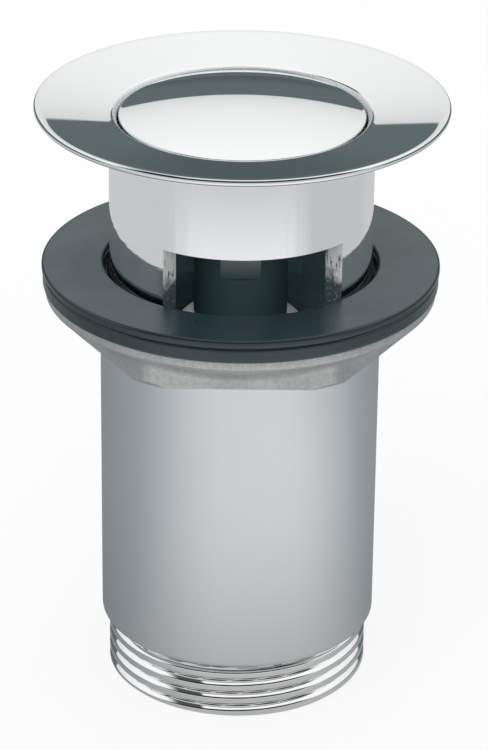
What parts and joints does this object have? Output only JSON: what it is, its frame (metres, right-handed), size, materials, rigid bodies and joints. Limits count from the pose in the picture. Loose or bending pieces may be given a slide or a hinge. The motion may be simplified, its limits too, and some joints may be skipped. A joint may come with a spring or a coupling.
{
  "type": "basin waste",
  "caption": "Pop-up basin waste with funnel flange, domed click plug, slotted tube, flanged back nut on rubber rings, cover sleeve and threaded tail.",
  "frame": {"origin": "centre of the threaded tail's end face, on the tube's axis", "axes": "+Z along the tube's axis up to the flange, -Y towards the front overflow window and one flat of the back nut"},
  "size_m": [0.0642, 0.0642, 0.0973],
  "materials": {
    "chrome": "polished",
    "satin_sleeve": "satin",
    "cast_nut": "raw cast",
    "washer_rubber": "matt",
    "seal_rubber": "matt",
    "dark_plastic": "moulded",
    "pale_plastic": "moulded",
    "brass": "turned",
    "spring_steel": "drawn wire"
  },
  "bodies": {
    "waste": {"body": "chrome", "bridge_insert": "chrome", "cartridge_housing": "dark_plastic", "guide_bush": "brass", "bush_o_ring": "seal_rubber", "ratchet_sleeve": "pale_plastic", "return_spring": "spring_steel", "spring_seat": "spring_steel", "mounting_stud": "brass", "stud_washer": "seal_rubber"},
    "plug": {"plug_cap": "chrome", "cap_carrier": "dark_plastic", "plug_seal": "seal_rubber", "cap_lock_nut": "brass", "plunger": "brass", "rotor": "pale_plastic"},
    "rings": {"lower_washer": "washer_rubber", "upper_washer": "washer_rubber"},
    "nut": {"back_nut": "cast_nut"},
    "cover": {"cover_sleeve": "satin_sleeve"}
  },
  "joints": [
    {"name": "plug_slide", "type": "slide", "parent": "waste", "child": "plug", "axis": [0, 0, 1], "range_m": [0, 0.009], "deforming": ["return_spring"]},
    {"name": "rings_slide", "type": "slide", "parent": "waste", "child": "rings", "axis": [0, 0, 1], "range_m": [-0.0081, 0.00232]},
    {"name": "nut_turn", "type": "hinge", "parent": "rings", "child": "nut", "pos_m": [0, 0, 0.06025], "axis": [0, 0, 1], "range_deg": [-1260, 360]},
    {"name": "cover_slide", "type": "slide", "parent": "waste", "child": "cover", "axis": [0, 0, 1], "range_m": [-0.0081, 0.00232]}
  ],
  "couplings": [
    {"joint": "rings_slide", "follows": "nut_turn", "m_per_rad": 0.00036749},
    {"joint": "cover_slide", "follows": "nut_turn", "m_per_rad": 0.00036749}
  ]
}
